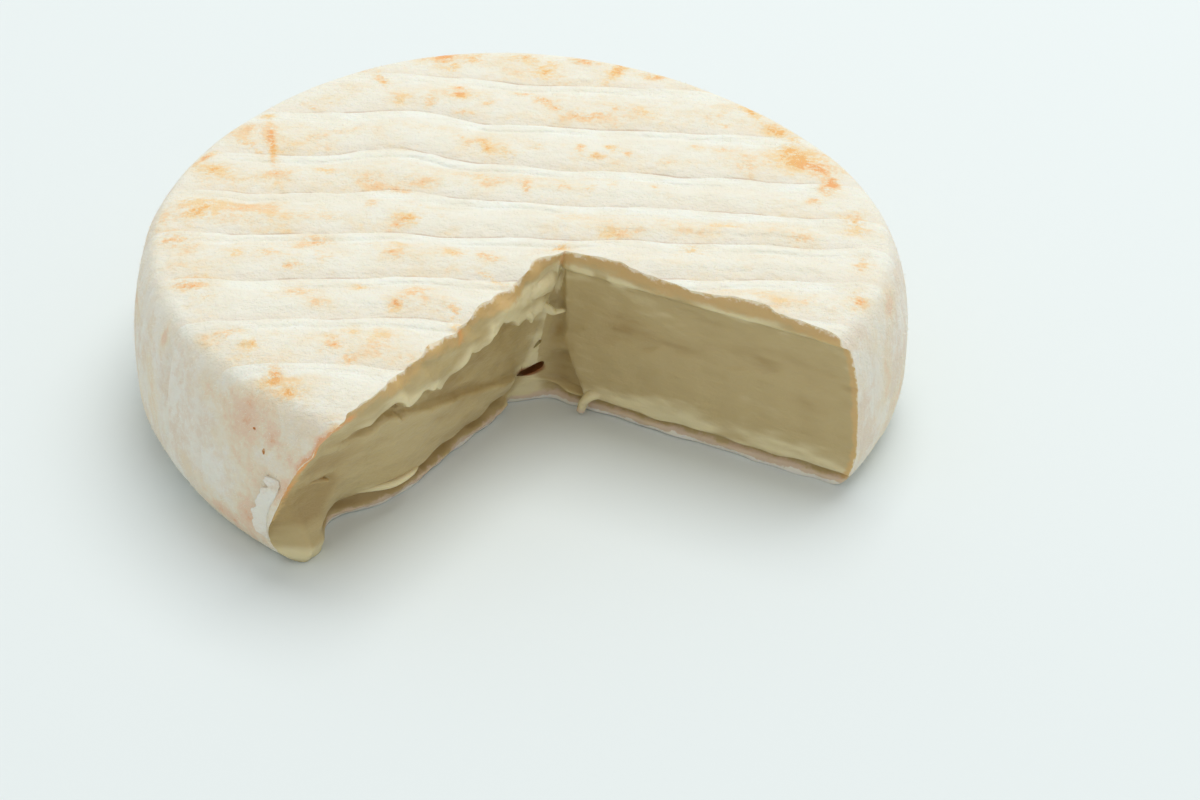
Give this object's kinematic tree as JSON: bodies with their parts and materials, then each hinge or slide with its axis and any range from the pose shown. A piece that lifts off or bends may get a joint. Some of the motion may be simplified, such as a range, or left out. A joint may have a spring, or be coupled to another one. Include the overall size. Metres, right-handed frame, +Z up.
{
  "type": "soft ripened cheese wheel",
  "caption": "Low round washed-rind cheese with rack marks across its top and a wedge cut out, showing the torn creamy paste.",
  "frame": {"origin": "centre of the wheel on its flat underside", "axes": "+Z up; the cut-out opens towards -Y; the rack marks run along X"},
  "size_m": [0.1428, 0.1355, 0.0359],
  "materials": {
    "cheese_rind": "matt bloomy rind, white mould over a cream and orange crust"
  },
  "bodies": {
    "root": {"cheese": "cheese_rind"}
  },
  "joints": []
}
